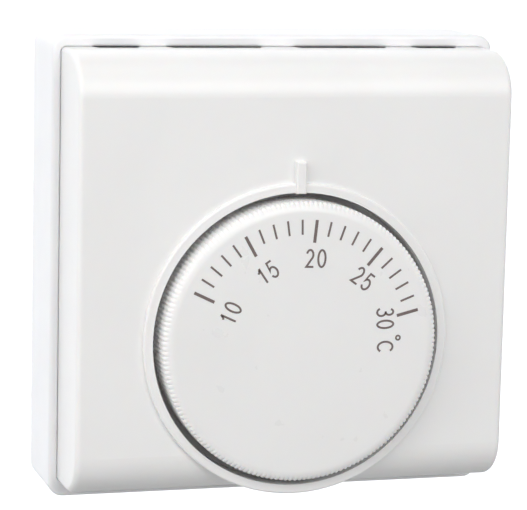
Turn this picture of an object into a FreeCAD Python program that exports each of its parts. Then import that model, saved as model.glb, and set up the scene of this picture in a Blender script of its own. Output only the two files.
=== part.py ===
import FreeCAD, Part
import math
import os

from FreeCAD import Vector

# A wall thermostat with a turning dial: a tray screwed to the wall, a cover that drops into it,
# a dial on a spindle, and the cam, sensing capsule and snap switch that the dial sets.
#
# Frame: X to the right, Z up, the wall at y = 0 and the front towards -Y. The origin is the middle
# of the wall face. "Depth" is the distance from the wall, so a point at depth d has y = -d.

# ---------------------------------------------------------------- case and cover
case_width = 84.0
case_height = 85.2
case_depth = 17.5
case_corner = 2.75
case_edge = 0.8
case_wall = 1.6
case_top_wall = 2.2
case_bottom_wall = 2.8
case_rim_round = 0.5
case_ledge = 1.2
back_wall = 2.0

cover_gap = 0.03
cover_wall = 1.8
cover_depth = 33.5
cover_lap = 4.2
cover_edge = 1.0
cover_curve_depth = 9.5
cover_curve_height = 7.8
seat_gap = 0.1

# ---------------------------------------------------------------- dial and its well
dial_drop = 11.2
ring_radius = 28.5
ring_wall = 1.7
ring_proud = 1.0
ring_edge = 0.45
well_depth = 5.0
pointer_width = 1.8
pointer_length = 5.8
pointer_proud = 1.5
pointer_edge = 0.3
pointer_overhang = 0.2

knob_gap = 1.2
knob_proud = 4.2
knob_floor_gap = 1.0
knob_wall = 1.8
knob_face_wall = 2.2
knob_bevel = 1.5
knob_hub_wall = 2.15
knob_rib = 1.0
knob_rib_count = 6
knob_rib_depth = 4.2
rib_root = 0.5
knob_top_gap = 0.8

# ---------------------------------------------------------------- vents
vent_reach = 2.4
vent_taper = 0.9
long_vent = 18.0
long_vent_offset = 12.0
short_vent = 8.8
short_vent_offset = 30.4

# ---------------------------------------------------------------- fixings
fixing_spacing = 60.3
fixing_radius = 2.2
fixing_slot = 8.0
fixing_pad = 1.0
fixing_pad_margin = 2.3
cable_width = 22.0
cable_height = 9.0
cable_edge = 1.5
cable_offset = 32.5

cover_screw_ring = 18.5
cover_screw_angle = 135.0
cover_screw_core = 1.5
cover_screw_reach = 10.0
screw_head_radius = 2.8
screw_head = 1.8
screw_recess = 0.8
screw_recess_width = 0.8
screw_recess_arm = 0.6
pillar_radius = 3.0
pillar_gap = 0.3

small_screw_core = 1.1
small_screw_head_radius = 2.0
small_screw_head = 1.4
small_boss_wall = 1.3
boss_floor = 0.6

# ---------------------------------------------------------------- fits
running_gap = 0.05
press_gap = 0.02
rest_gap = 0.1
side_gap = 0.3
overcut = 1.0

# ---------------------------------------------------------------- spindle, cam and frame
spindle_radius = 3.0
spindle_flat_cut = 0.8
spindle_flat_length = 6.0
spindle_hole_gap = 1.2
spindle_chamfer = 0.4
leaf_thickness = 0.4
leaf_width = 2.8
leaf_length = 4.5
clip_thickness = 0.4
clip_reach = 2.0
clip_groove = 0.6
clip_opening = 2.9

floor_to_clip = 0.4
bush_flange = 0.6
bush_flange_width = 1.4
bush_wall = 1.15
plate_thickness = 1.2
frame_half_height = 8.0
foot_length = 5.1
foot_height = 3.0
foot_screw_offset = 5.0
washer_thickness = 0.4
washer_width = 5.0

cam_inset = 2.0
cam_thickness = 2.0
cam_rim = 1.0
cam_track_width = 3.0
dial_range_low = 63.0
dial_range_high = 77.0
cam_lift = 1.0
cam_run_out = 10.0
cam_rest_height = 0.85
cam_root = 1.0
cam_lug_reach = 1.8
cam_lug_half_angle = 8.0
stop_pin_radius = 0.9
stop_angle_gap = 0.5

# ---------------------------------------------------------------- capsule and its carrier
carrier_thickness = 1.4
carrier_drop = 2.1
guide_margin = 1.1
guide_radius = 1.5
guide_boss_radius = 3.0
guide_boss = 5.5
ear_radius = 2.9
ear_sleeve = 1.2
nose_radius = 1.0
spring_wire = 0.3
spring_clearance = 0.5
spring_turns = 5

capsule_radius = 13.0
capsule_flange = 0.6
capsule_lid_thickness = 0.65
capsule_pocket = 0.35
capsule_pocket_inset = 2.5
diaphragm_thickness = 0.15
diaphragm_bead = 0.15
diaphragm_bead_count = 3
diaphragm_bead_pitch = 2.1
diaphragm_bead_inset = 1.6
capsule_flange_width = 2.0
capsule_cup_depth = 4.0
capsule_skin = 0.6
capsule_neck_radius = 2.6
capsule_neck = 1.0
rivet_radius = 1.6
rivet_head_radius = 2.4
rivet_head = 0.4
fill_tube_radius = 0.8
fill_tube_length = 3.6
fill_tube_inset = 0.9
fill_tube_angle = 60.0
push_pin_radius = 1.5
push_plate_radius = 6.0
push_plate = 0.8
push_pin_tail = 0.6

# ---------------------------------------------------------------- snap switch
switch_half_length = 12.0
switch_half_height = 4.0
switch_wall = 0.8
switch_floor = 1.0
switch_lid_thickness = 0.6
switch_ear = 4.6
switch_ear_thickness = 2.0
plunger_radius = 1.2
plunger_clearance = 1.05
plunger_tip_gap = 0.05
strip_thickness = 0.6
strip_width = 3.0
strip_gap = 0.15
strip_lid_gap = 0.6
strip_end_gap = 2.2
contact_offset = 9.0
contact_radius = 1.1
contact_thickness = 0.6
contact_gap = 0.05
arm_thickness = 0.5
arm_height = 3.0
arm_overhang = 1.4
knife_thickness = 0.8
knife_gap = 0.05
snap_thickness = 0.12
snap_half_span = 3.0
snap_height = 0.8
snap_width = 2.0
contact_reach = 1.8

# ---------------------------------------------------------------- terminals
terminal_count = 4
terminal_pitch = 10.0
terminal_base = 12.5
terminal_height = 11.5
terminal_front_wall = 1.7
terminal_wall = 1.3
terminal_ear = 5.0
terminal_ear_thickness = 2.0
terminal_boss = 2.0
cage_wall = 0.8
cage_depth = 6.0
cage_fit = 0.1
cage_height = 7.5
terminal_screw_radius = 1.6
terminal_screw_head_radius = 2.5
terminal_screw_head = 1.6
terminal_screw_tip = 0.7
terminal_screw_proud = 0.4

resistor_radius = 1.6
resistor_length = 6.0
resistor_lift = 2.6
resistor_above_base = 7.5
lead_radius = 0.3

# ---------------------------------------------------------------- worked out from the above
small_boss_radius = small_screw_core + small_boss_wall
case_half = case_width / 2
case_half_height = case_height / 2
rim_half = case_half - case_wall
rim_top = case_half_height - case_top_wall
rim_low = case_bottom_wall - case_half_height
cover_half = rim_half - cover_gap
cover_top = rim_top - cover_gap
cover_low = rim_low + cover_gap
cover_inner_half = cover_half - cover_wall
cover_rear = case_depth - cover_lap
cover_inner_depth = cover_depth - cover_wall
curve_start = cover_depth - cover_curve_depth

axis_z = -dial_drop
ring_inner = ring_radius - ring_wall
ring_front = cover_depth + ring_proud
well_floor = cover_depth - well_depth
well_underside = well_floor - cover_wall

knob_radius = ring_inner - knob_gap
knob_front = cover_depth + knob_proud
knob_rear = well_floor + knob_floor_gap
knob_inner_top = knob_front - knob_face_wall
spindle_front = knob_inner_top - knob_top_gap

knob_hub_radius = spindle_radius + running_gap + knob_hub_wall
spindle_flat = spindle_radius - spindle_flat_cut
clip_radius = spindle_radius + clip_reach
bush_radius = spindle_radius + running_gap + bush_wall
bush_flange_radius = bush_radius + bush_flange_width
clip_rear = well_underside - floor_to_clip - clip_thickness
bush_front = clip_rear - running_gap
plate_front = bush_front - bush_flange
plate_rear = plate_front - plate_thickness
cam_front = plate_rear - washer_thickness - 2 * running_gap
cam_rear = cam_front - cam_thickness
spindle_rear = cam_rear - cam_rest_height

cam_radius = capsule_radius - cam_inset
cam_track = cam_radius - cam_rim - cam_track_width / 2
lift_per_degree = cam_lift / (dial_range_low + dial_range_high)
nose_front = cam_rear - cam_rest_height - rest_gap
carrier_front = cam_rear - carrier_drop
carrier_rear = carrier_front - carrier_thickness
ear_rear = carrier_rear - ear_sleeve

spring_radius = guide_radius + spring_clearance + spring_wire
guide_offset = max(capsule_radius + guide_margin + ear_radius,
                   switch_half_length + side_gap + guide_boss_radius)
frame_half_width = guide_offset + ear_radius + side_gap + plate_thickness
capsule_cup_radius = capsule_radius - capsule_flange_width
capsule_pocket_radius = capsule_radius - capsule_pocket_inset
fill_tube_ring = capsule_radius - fill_tube_inset

lid_rear = carrier_rear - capsule_lid_thickness
diaphragm_rear = lid_rear - diaphragm_thickness
cup_flange_rear = diaphragm_rear - capsule_flange
cup_bottom = diaphragm_rear - capsule_cup_depth - capsule_skin
neck_rear = cup_bottom - capsule_neck
push_pin_rear = neck_rear - push_pin_tail

plunger_front = push_pin_rear - rest_gap
switch_front = plunger_front - plunger_clearance
switch_inner_front = switch_front - switch_lid_thickness
strip_front = switch_inner_front - strip_lid_gap
strip_rear = strip_front - strip_thickness
fixed_contact_rear = strip_rear - contact_thickness
moving_contact_front = fixed_contact_rear - contact_gap
arm_front = moving_contact_front - contact_thickness
arm_rear = arm_front - arm_thickness
switch_rear = back_wall
plunger_rear = arm_front + snap_height + 2 * plunger_tip_gap

guide_boss_front = back_wall + guide_boss
foot_front = back_wall + foot_height + plate_thickness
foot_rear = back_wall + foot_height
terminal_top = terminal_base + terminal_height
terminal_half = terminal_count * terminal_pitch / 2
cage_rear = strip_rear - cage_wall
cage_front = cage_rear + cage_depth
terminal_front = cage_front + terminal_front_wall
cage_half = terminal_pitch / 2 - terminal_wall / 2 - cage_fit
cage_base = terminal_base + terminal_wall + cage_fit
terminal_x = [(place + 0.5) * terminal_pitch - terminal_half for place in range(terminal_count)]
resistor_z = terminal_base - resistor_above_base


# ---------------------------------------------------------------- helpers
def save(name, shape):
    """Write one node's solids."""
    shape.exportStep("parts/" + name + ".step")


def group(solids):
    """Separate solids that share one node."""
    return Part.makeCompound(solids)


def block(x_low, x_high, depth_low, depth_high, z_low, z_high):
    """A rectangular block between two distances from the wall."""
    corner = Vector(x_low, -depth_high, z_low)
    return Part.makeBox(x_high - x_low, depth_high - depth_low, z_high - z_low, corner)


def rod(x, z, depth_low, depth_high, radius):
    """A round rod that stands out from the wall."""
    return Part.makeCylinder(radius, depth_high - depth_low, Vector(x, -depth_low, z), Vector(0, -1, 0))


def tube(x, z, depth_low, depth_high, outer, inner):
    """A round tube that stands out from the wall."""
    return rod(x, z, depth_low, depth_high, outer).cut(rod(x, z, depth_low, depth_high, inner))


def sheet(points, depth_low, depth_high):
    """A flat outline in X and Z, given a thickness in depth."""
    corners = [Vector(x, -depth_low, z) for x, z in points]
    outline = Part.makePolygon(corners + corners[:1])
    return Part.Face(outline).extrude(Vector(0, depth_low - depth_high, 0))


def slot(x, z, depth_low, depth_high, radius, length):
    """A round-ended slot along X."""
    reach = length / 2 - radius
    middle = block(x - reach, x + reach, depth_low, depth_high, z - radius, z + radius)
    left_end = rod(x - reach, z, depth_low, depth_high, radius)
    right_end = rod(x + reach, z, depth_low, depth_high, radius)
    return middle.fuse([left_end, right_end]).removeSplitter()


def on_ring(radius, degrees):
    """The X and Z of a point round the dial's axis, counter-clockwise from the right."""
    angle = math.radians(degrees)
    return radius * math.cos(angle), axis_z + radius * math.sin(angle)


def revolve_on_dial(points):
    """Turn an outline of radius and depth about the dial's axis."""
    corners = [Vector(radius, -depth, axis_z) for radius, depth in points]
    outline = Part.makePolygon(corners + corners[:1])
    return Part.Face(outline).revolve(Vector(0, 0, axis_z), Vector(0, 1, 0), 360)


def edges_along_y(shape):
    """The straight edges that run out from the wall."""
    found = []
    for edge in shape.Edges:
        direction = edge.tangentAt(edge.FirstParameter)
        if isinstance(edge.Curve, Part.Line) and abs(direction.y) > 0.999:
            found.append(edge)
    return found


def edges_at_depth(shape, depth):
    """The edges that lie wholly at one distance from the wall."""
    box_fits = [edge for edge in shape.Edges if edge.BoundBox.YLength < 0.001]
    return [edge for edge in box_fits if abs(edge.BoundBox.YMin + depth) < 0.001]


def screw(x, z, seat, tip, core, head_radius, head):
    """A pan-head screw with a cross recess; its head sits at the seat's depth."""
    shank = rod(x, z, tip, seat, core)
    cap = rod(x, z, seat, seat + head, head_radius)
    cap = cap.makeFillet(head / 3, edges_at_depth(cap, seat + head))
    arm = head_radius * screw_recess_arm
    half = screw_recess_width / 2
    recess_floor = seat + head - screw_recess
    recess_front = seat + head + overcut
    across = block(x - arm, x + arm, recess_floor, recess_front, z - half, z + half)
    upright = block(x - half, x + half, recess_floor, recess_front, z - arm, z + arm)
    return shank.fuse(cap).cut(across.fuse(upright))


# ---------------------------------------------------------------- case
def cover_screw_places():
    """The two cover screws, opposite each other under the dial."""
    angles = (cover_screw_angle, cover_screw_angle + 180)
    return [on_ring(cover_screw_ring, angle) for angle in angles]


def frame_screw_places():
    """The four screws through the frame's feet."""
    x = frame_half_width + foot_length / 2
    heights = (axis_z - foot_screw_offset, axis_z + foot_screw_offset)
    return [(side * x, z) for side in (-1, 1) for z in heights]


def switch_screw_places():
    """The two screws through the switch's ears."""
    x = switch_half_length + switch_ear / 2
    return [(side * x, axis_z - switch_half_height - small_boss_radius) for side in (-1, 1)]


def terminal_screw_places():
    """The two screws that hold the terminal block."""
    x = terminal_half + terminal_ear / 2
    return [(side * x, terminal_base + terminal_height / 2) for side in (-1, 1)]


def boss(place, height):
    """A moulded screw boss on the back wall, and the pilot hole in it."""
    x, z = place
    post = rod(x, z, back_wall, back_wall + height, small_boss_radius)
    pilot = rod(x, z, boss_floor, back_wall + height, small_screw_core + press_gap)
    return post, pilot


def rim_edges(tray):
    """The front edges round the opening that the cover drops into."""
    found = []
    for edge in edges_at_depth(tray, case_depth):
        box = edge.BoundBox
        beside = max(abs(box.XMin), abs(box.XMax)) < rim_half + 0.001
        if beside and box.ZMax < rim_top + 0.001 and box.ZMin > rim_low - 0.001:
            found.append(edge)
    return found


def rear_housing():
    """The tray that is screwed to the wall and carries everything else."""
    tray = block(-case_half, case_half, 0, case_depth, -case_half_height, case_half_height)
    tray = tray.makeFillet(case_corner, edges_along_y(tray))
    tray = tray.makeFillet(case_edge, edges_at_depth(tray, case_depth))

    upper = block(-rim_half, rim_half, cover_rear - seat_gap, case_depth, rim_low, rim_top)
    upper = upper.makeFillet(cover_edge + cover_gap, edges_along_y(upper))
    lower_half = rim_half - case_ledge
    lower = block(-lower_half, lower_half, back_wall, cover_rear, rim_low + case_ledge, rim_top - case_ledge)
    lower = lower.makeFillet(case_corner - case_wall, edges_along_y(lower))
    airways = []
    for x, half in vent_places():
        airways.append(block(x - half, x + half, back_wall, cover_rear, rim_low, rim_top))
    tray = tray.cut([upper, lower] + airways)
    tray = tray.makeFillet(case_rim_round, rim_edges(tray))

    added = []
    removed = []
    pillar_front = well_underside - pillar_gap
    screw_tip = well_floor - cover_screw_reach
    for x, z in cover_screw_places():
        added.append(rod(x, z, back_wall, pillar_front, pillar_radius))
        removed.append(rod(x, z, screw_tip - overcut, pillar_front, cover_screw_core + running_gap))

    posts = [(place, foot_height) for place in frame_screw_places()]
    posts += [(place, foot_height) for place in switch_screw_places()]
    posts += [(place, terminal_boss) for place in terminal_screw_places()]
    for place, height in posts:
        post, pilot = boss(place, height)
        added.append(post)
        removed.append(pilot)

    for side in (-1, 1):
        x = side * guide_offset
        added.append(rod(x, axis_z, back_wall, guide_boss_front, guide_boss_radius))
        removed.append(rod(x, axis_z, back_wall, guide_boss_front, guide_radius + press_gap))

        x = side * fixing_spacing / 2
        pad_half = fixing_slot / 2 + fixing_pad_margin
        pad_rise = fixing_radius + fixing_pad_margin
        pad_depth = back_wall + fixing_pad
        added.append(block(x - pad_half, x + pad_half, back_wall, pad_depth, -pad_rise, pad_rise))
        removed.append(slot(x, 0, 0, pad_depth, fixing_radius, fixing_slot))

    half = cable_width / 2
    low = cable_offset - cable_height / 2
    entry = block(-half, half, 0, back_wall, low, low + cable_height)
    removed.append(entry.makeFillet(cable_edge, edges_along_y(entry)))
    return tray.fuse(added).cut(removed).removeSplitter()


# ---------------------------------------------------------------- cover
def cover_form(half, low, high, front, curve_height):
    """The cover's form: flat sides, and a quarter ellipse over the top and bottom edges."""
    rear = cover_rear
    straight = curve_start
    curve_depth = front - straight
    lower = low + curve_height
    upper = high - curve_height
    diagonal = math.sqrt(0.5)
    middle_depth = straight + curve_depth * diagonal
    top_middle = Vector(-half, -middle_depth, upper + curve_height * diagonal)
    bottom_middle = Vector(-half, -middle_depth, lower - curve_height * diagonal)
    corners = [Vector(-half, -rear, high), Vector(-half, -straight, high), Vector(-half, -front, upper),
               Vector(-half, -front, lower), Vector(-half, -straight, low), Vector(-half, -rear, low)]

    def quarter(centre_z, turn_from):
        if curve_depth >= curve_height:
            centre = Vector(-half, -straight, centre_z)
            major = Vector(-half, -front, centre_z)
            minor = Vector(-half, -straight, centre_z + turn_from * curve_height)
            return Part.Ellipse(major, minor, centre)
        centre = Vector(-half, -straight, centre_z)
        major = Vector(-half, -straight, centre_z + turn_from * curve_height)
        minor = Vector(-half, -front, centre_z)
        return Part.Ellipse(major, minor, centre)

    def piece(ellipse, first, middle, last):
        span = sorted((ellipse.parameter(first), ellipse.parameter(last)))
        inside = ellipse.parameter(middle)
        if not span[0] < inside < span[1]:
            span = [span[1], span[0] + 2 * math.pi]
        return Part.Edge(ellipse, span[0], span[1])

    edges = [Part.makeLine(corners[0], corners[1]),
             piece(quarter(upper, 1), corners[1], top_middle, corners[2]),
             Part.makeLine(corners[2], corners[3]),
             piece(quarter(lower, -1), corners[3], bottom_middle, corners[4]),
             Part.makeLine(corners[4], corners[5]),
             Part.makeLine(corners[5], corners[0])]
    outline = Part.Wire(Part.__sortEdges__(edges))
    return Part.Face(outline).extrude(Vector(2 * half, 0, 0))


def side_edges(shape, half):
    """The edges of the two flat sides, apart from the rear ones."""
    found = []
    for edge in shape.Edges:
        box = edge.BoundBox
        on_side = box.XLength < 0.001 and abs(abs(box.XMin) - half) < 0.001
        if on_side and not (box.YLength < 0.001 and abs(box.YMin + cover_rear) < 0.001):
            found.append(edge)
    return found


def vent_places():
    """Each vent's middle along X and half its length."""
    places = []
    for length, offset in ((long_vent, long_vent_offset), (short_vent, short_vent_offset)):
        places += [(-offset, length / 2), (offset, length / 2)]
    return places


def vents():
    """Slots through the cover's top and bottom walls, which taper in front of the case's rim."""
    cutters = []
    for x, half in vent_places():
        outline = [(half, cover_rear - overcut), (half, case_depth),
                   (half - vent_taper, case_depth + vent_reach)]
        right = [Vector(x + across, -depth, -case_half_height) for across, depth in outline]
        left = [Vector(x - across, -depth, -case_half_height) for across, depth in reversed(outline)]
        face = Part.Face(Part.makePolygon(right + left + right[:1]))
        cutters.append(face.extrude(Vector(0, 0, case_height)))
    return cutters


def front_cover():
    """The cover with its raised dial ring, the well behind the dial, the pointer and the vents."""
    shell = cover_form(cover_half, cover_low, cover_top, cover_depth, cover_curve_height)
    shell = shell.makeFillet(cover_edge, side_edges(shell, cover_half))
    hollow = cover_form(cover_inner_half, cover_low + cover_wall, cover_top - cover_wall, cover_inner_depth,
                        cover_curve_height - cover_wall)
    shell = shell.cut(hollow).cut(vents())

    ring = rod(0, axis_z, well_underside, ring_front, ring_radius)
    ring = ring.makeFillet(ring_edge, edges_at_depth(ring, ring_front))
    well = rod(0, axis_z, well_floor, ring_front, ring_inner)
    pointer_low = axis_z + ring_inner - pointer_overhang
    pointer_front = cover_depth + pointer_proud
    pointer = block(-pointer_width / 2, pointer_width / 2, cover_depth - cover_wall / 2, pointer_front,
                    pointer_low, pointer_low + pointer_length)
    pointer = pointer.makeFillet(pointer_edge, edges_at_depth(pointer, pointer_front))
    cover = shell.fuse(ring).cut(well).fuse(pointer)

    holes = [rod(0, axis_z, well_underside, well_floor, spindle_radius + spindle_hole_gap)]
    for x, z in cover_screw_places():
        holes.append(rod(x, z, well_underside, well_floor, cover_screw_core + side_gap))
    return cover.cut(holes).removeSplitter()


def cover_screws():
    """The two captive screws in the floor of the well."""
    tip = well_floor - cover_screw_reach
    return group([screw(x, z, well_floor, tip, cover_screw_core, screw_head_radius, screw_head)
                  for x, z in cover_screw_places()])


# ---------------------------------------------------------------- dial and spindle
def setting_knob():
    """The dial: a hollow cap with a hub and ribs inside."""
    skirt_inner = knob_radius - knob_wall
    bore = spindle_radius + running_gap
    cap = revolve_on_dial([(0, knob_front), (knob_radius - knob_bevel, knob_front),
                           (knob_radius, knob_front - knob_bevel), (knob_radius, knob_rear),
                           (skirt_inner, knob_rear), (skirt_inner, knob_inner_top),
                           (knob_hub_radius, knob_inner_top), (knob_hub_radius, knob_rear), (0, knob_rear)])
    ribs = []
    rib_rear = knob_inner_top - knob_rib_depth
    for place in range(knob_rib_count):
        rib = block(knob_hub_radius - rib_root, skirt_inner + rib_root, rib_rear, knob_inner_top + rib_root,
                    axis_z - knob_rib / 2, axis_z + knob_rib / 2)
        rib.rotate(Vector(0, 0, axis_z), Vector(0, 1, 0), 360 / knob_rib_count * (place + 0.5))
        ribs.append(rib)
    hole = rod(0, axis_z, knob_rear, spindle_front + knob_top_gap / 2, bore)
    flat = spindle_flat + leaf_thickness + 2 * running_gap
    beyond_flat = block(flat, spindle_radius + overcut, knob_rear, spindle_front + overcut,
                        axis_z - spindle_radius - overcut, axis_z + spindle_radius + overcut)
    return cap.fuse(ribs).cut(hole.cut(beyond_flat)).removeSplitter()


def knob_spring_leaf():
    """The flat spring between the spindle's flat and the hub, which grips the dial."""
    low = spindle_flat + running_gap
    rear = spindle_front - leaf_length - rest_gap
    return block(low, low + leaf_thickness, rear, rear + leaf_length,
                 axis_z - leaf_width / 2, axis_z + leaf_width / 2)


def spindle():
    """The turned spindle, with a flat for the dial and a groove for its clip."""
    shaft = rod(0, axis_z, spindle_rear, spindle_front, spindle_radius)
    shaft = shaft.makeChamfer(spindle_chamfer, edges_at_depth(shaft, spindle_front))
    beyond_flat = block(spindle_flat, spindle_radius + overcut, spindle_front - spindle_flat_length,
                        spindle_front, axis_z - spindle_radius - overcut,
                        axis_z + spindle_radius + overcut)
    groove = tube(0, axis_z, clip_rear, clip_rear + clip_thickness, spindle_radius + overcut,
                  spindle_radius - clip_groove)
    return shaft.cut([beyond_flat, groove])


def spindle_clip():
    """The open clip in the spindle's groove, in front of the bush."""
    inner = spindle_radius - clip_groove + press_gap
    ring = tube(0, axis_z, clip_rear, clip_rear + clip_thickness, clip_radius, inner)
    mouth = block(-clip_opening / 2, clip_opening / 2, clip_rear, clip_rear + clip_thickness,
                  axis_z - clip_radius, axis_z)
    return ring.cut(mouth)


def spindle_bush():
    """The flanged brass bush that the spindle turns in."""
    body = rod(0, axis_z, plate_rear, bush_front, bush_radius)
    flange = rod(0, axis_z, plate_front, bush_front, bush_flange_radius)
    bore = rod(0, axis_z, plate_rear, bush_front, spindle_radius + running_gap)
    return body.fuse(flange).cut(bore)


def thrust_washer():
    """The thin washer between the frame and the cam."""
    rear = cam_front + running_gap
    return tube(0, axis_z, rear, rear + washer_thickness, spindle_radius + washer_width,
                spindle_radius + press_gap)


def cam_ramp(start_angle):
    """One helical ramp on the cam's rear face, rising counter-clockwise seen from the front."""
    sweep_angle = dial_range_low + dial_range_high + 2 * cam_run_out
    rise = lift_per_degree * sweep_angle
    pitch = lift_per_degree * 360
    spine = Part.makeHelix(pitch, rise, cam_track, 0, True)
    start_height = cam_rest_height - lift_per_degree * (dial_range_high + cam_run_out)
    half = cam_track_width / 2
    corners = [Vector(cam_track - half, 0, -cam_root), Vector(cam_track + half, 0, -cam_root),
               Vector(cam_track + half, 0, start_height), Vector(cam_track - half, 0, start_height)]
    profile = Part.makePolygon(corners + corners[:1])
    ramp = Part.Wire(spine.Edges).makePipeShell([profile], True, True)
    ramp.rotate(Vector(0, 0, 0), Vector(0, 0, 1), -start_angle)
    # The helix rises along +Z. Turning it about X lays that direction along +Y, away from the front.
    ramp.rotate(Vector(0, 0, 0), Vector(1, 0, 0), -90)
    ramp.translate(Vector(0, -cam_rear, axis_z))
    return ramp


def setting_cam():
    """The face cam on the spindle, with two ramps and the lug that meets the stop pins."""
    disc = rod(0, axis_z, cam_rear, cam_front, cam_radius)
    lug_outer = cam_radius + cam_lug_reach
    wedge_reach = 2 * lug_outer
    wedge_half = wedge_reach * math.tan(math.radians(cam_lug_half_angle))
    wedge = sheet([(0, axis_z), (-wedge_half, axis_z - wedge_reach), (wedge_half, axis_z - wedge_reach)],
                  cam_rear, cam_front)
    lug = rod(0, axis_z, cam_rear, cam_front, lug_outer).common(wedge)
    first = 90 - dial_range_high - cam_run_out
    bore = rod(0, axis_z, cam_rear - cam_lift, cam_front, spindle_radius + press_gap)
    return disc.fuse([lug, cam_ramp(first), cam_ramp(first + 180)]).cut(bore).removeSplitter()


# ---------------------------------------------------------------- frame
def mechanism_frame():
    """The bent steel frame across the mechanism, on four feet."""
    low = axis_z - frame_half_height
    high = axis_z + frame_half_height
    half = frame_half_width
    inner = half - plate_thickness
    pieces = [block(-half, half, plate_rear, plate_front, low, high)]
    for side in (-1, 1):
        near, far = sorted((side * inner, side * half))
        pieces.append(block(near, far, foot_rear, plate_front, low, high))
        near, far = sorted((side * inner, side * (half + foot_length)))
        pieces.append(block(near, far, foot_rear, foot_front, low, high))
    holes = [rod(0, axis_z, plate_rear, plate_front, bush_radius + press_gap)]
    for side in (-1, 1):
        holes.append(rod(side * guide_offset, axis_z, plate_rear, plate_front, guide_radius + press_gap))
    for x, z in stop_pin_places():
        holes.append(rod(x, z, plate_rear, plate_front, stop_pin_radius + press_gap))
    for x, z in frame_screw_places():
        holes.append(rod(x, z, foot_rear, foot_front, small_screw_core + running_gap))
    return pieces[0].fuse(pieces[1:]).cut(holes).removeSplitter()


def small_screws(places, seat, reach):
    """A set of small screws, all at one depth."""
    return group([screw(x, z, seat, seat - reach, small_screw_core, small_screw_head_radius,
                        small_screw_head) for x, z in places])


def stop_pin_places():
    """Where the two stop pins stand, just past the cam lug at each end of its travel."""
    ring = cam_radius + cam_lug_reach - stop_pin_radius / 2
    pin_angle = math.degrees(math.asin(stop_pin_radius / ring))
    beyond = cam_lug_half_angle + pin_angle + stop_angle_gap
    return [on_ring(ring, 270 - dial_range_low - beyond), on_ring(ring, 270 + dial_range_high + beyond)]


def stop_pins():
    """The two pins riveted in the frame that end the dial's travel."""
    middle = (cam_front + cam_rear) / 2
    return group([rod(x, z, middle, plate_front, stop_pin_radius) for x, z in stop_pin_places()])


def guide_pins():
    """The two pins that the carrier slides on."""
    return group([rod(side * guide_offset, axis_z, back_wall, plate_front, guide_radius)
                  for side in (-1, 1)])


def return_springs():
    """The two coil springs that hold the carrier against the cam."""
    low = guide_boss_front + spring_wire + running_gap
    high = ear_rear - spring_wire - running_gap
    springs = []
    for side in (-1, 1):
        coil = Part.makeHelix((high - low) / spring_turns, high - low, spring_radius)
        section = Part.makeCircle(spring_wire, Vector(spring_radius, 0, 0), Vector(0, 1, 0))
        spring = Part.Wire(coil.Edges).makePipeShell([Part.Wire(section)], True, True)
        spring.rotate(Vector(0, 0, 0), Vector(1, 0, 0), 90)
        spring.translate(Vector(side * guide_offset, -low, axis_z))
        springs.append(spring)
    return group(springs)


# ---------------------------------------------------------------- capsule
def capsule_carrier():
    """The moulded carrier: its noses ride on the cam and its ears slide on the guide pins."""
    plate = rod(0, axis_z, carrier_rear, carrier_front, capsule_radius)
    ears = [block(-guide_offset, guide_offset, carrier_rear, carrier_front,
                  axis_z - ear_radius, axis_z + ear_radius)]
    holes = [rod(0, axis_z, carrier_rear, carrier_front, rivet_radius + press_gap)]
    for side in (-1, 1):
        x = side * guide_offset
        ears.append(rod(x, axis_z, ear_rear, carrier_front, ear_radius))
        holes.append(rod(x, axis_z, ear_rear, carrier_front, guide_radius + running_gap))
    for angle in (90, 270):
        x, z = on_ring(cam_track, angle)
        ears.append(rod(x, z, carrier_front, nose_front, nose_radius))
    x, z = on_ring(fill_tube_ring, fill_tube_angle)
    holes.append(rod(x, z, carrier_rear, carrier_front, fill_tube_radius + side_gap))
    return plate.fuse(ears).cut(holes).removeSplitter()


def capsule_lid():
    """The capsule's pressed front plate."""
    disc = rod(0, axis_z, lid_rear, carrier_rear, capsule_radius)
    pocket = rod(0, axis_z, lid_rear, lid_rear + capsule_pocket, capsule_pocket_radius)
    hole = rod(0, axis_z, lid_rear, carrier_rear, rivet_radius + press_gap)
    return disc.cut([pocket, hole])


def capsule_diaphragm():
    """The thin beaded diaphragm, clamped between the capsule's lid and cup."""
    disc = rod(0, axis_z, diaphragm_rear, lid_rear, capsule_radius)
    beads = []
    for place in range(diaphragm_bead_count):
        middle = capsule_pocket_radius - diaphragm_bead_inset - place * diaphragm_bead_pitch
        beads.append(tube(0, axis_z, lid_rear, lid_rear + diaphragm_bead,
                          middle + diaphragm_bead, middle - diaphragm_bead))
    return disc.fuse(beads).removeSplitter()


def capsule_cup():
    """The capsule's rear cup, with the neck that guides the push pin."""
    inner = capsule_cup_radius - capsule_skin
    bore = push_pin_radius + running_gap
    return revolve_on_dial([(capsule_radius, diaphragm_rear), (capsule_radius, cup_flange_rear),
                            (capsule_cup_radius, cup_flange_rear), (capsule_cup_radius, cup_bottom),
                            (capsule_neck_radius, cup_bottom), (capsule_neck_radius, neck_rear),
                            (bore, neck_rear), (bore, cup_bottom + capsule_skin),
                            (inner, cup_bottom + capsule_skin), (inner, diaphragm_rear)])


def capsule_rivet():
    """The rivet that holds the capsule to its carrier."""
    shank = rod(0, axis_z, lid_rear + capsule_pocket / 2, carrier_front, rivet_radius)
    head = rod(0, axis_z, carrier_front, carrier_front + rivet_head, rivet_head_radius)
    foot = rod(0, axis_z, lid_rear + capsule_pocket / 2, lid_rear + capsule_pocket, rivet_head_radius)
    return shank.fuse([head, foot])


def fill_tube():
    """The sealed stub of the copper tube that the capsule was filled through."""
    x, z = on_ring(fill_tube_ring, fill_tube_angle)
    stub = rod(x, z, carrier_rear, carrier_rear + fill_tube_length, fill_tube_radius)
    return stub.makeFillet(fill_tube_radius / 2, edges_at_depth(stub, carrier_rear + fill_tube_length))


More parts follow.
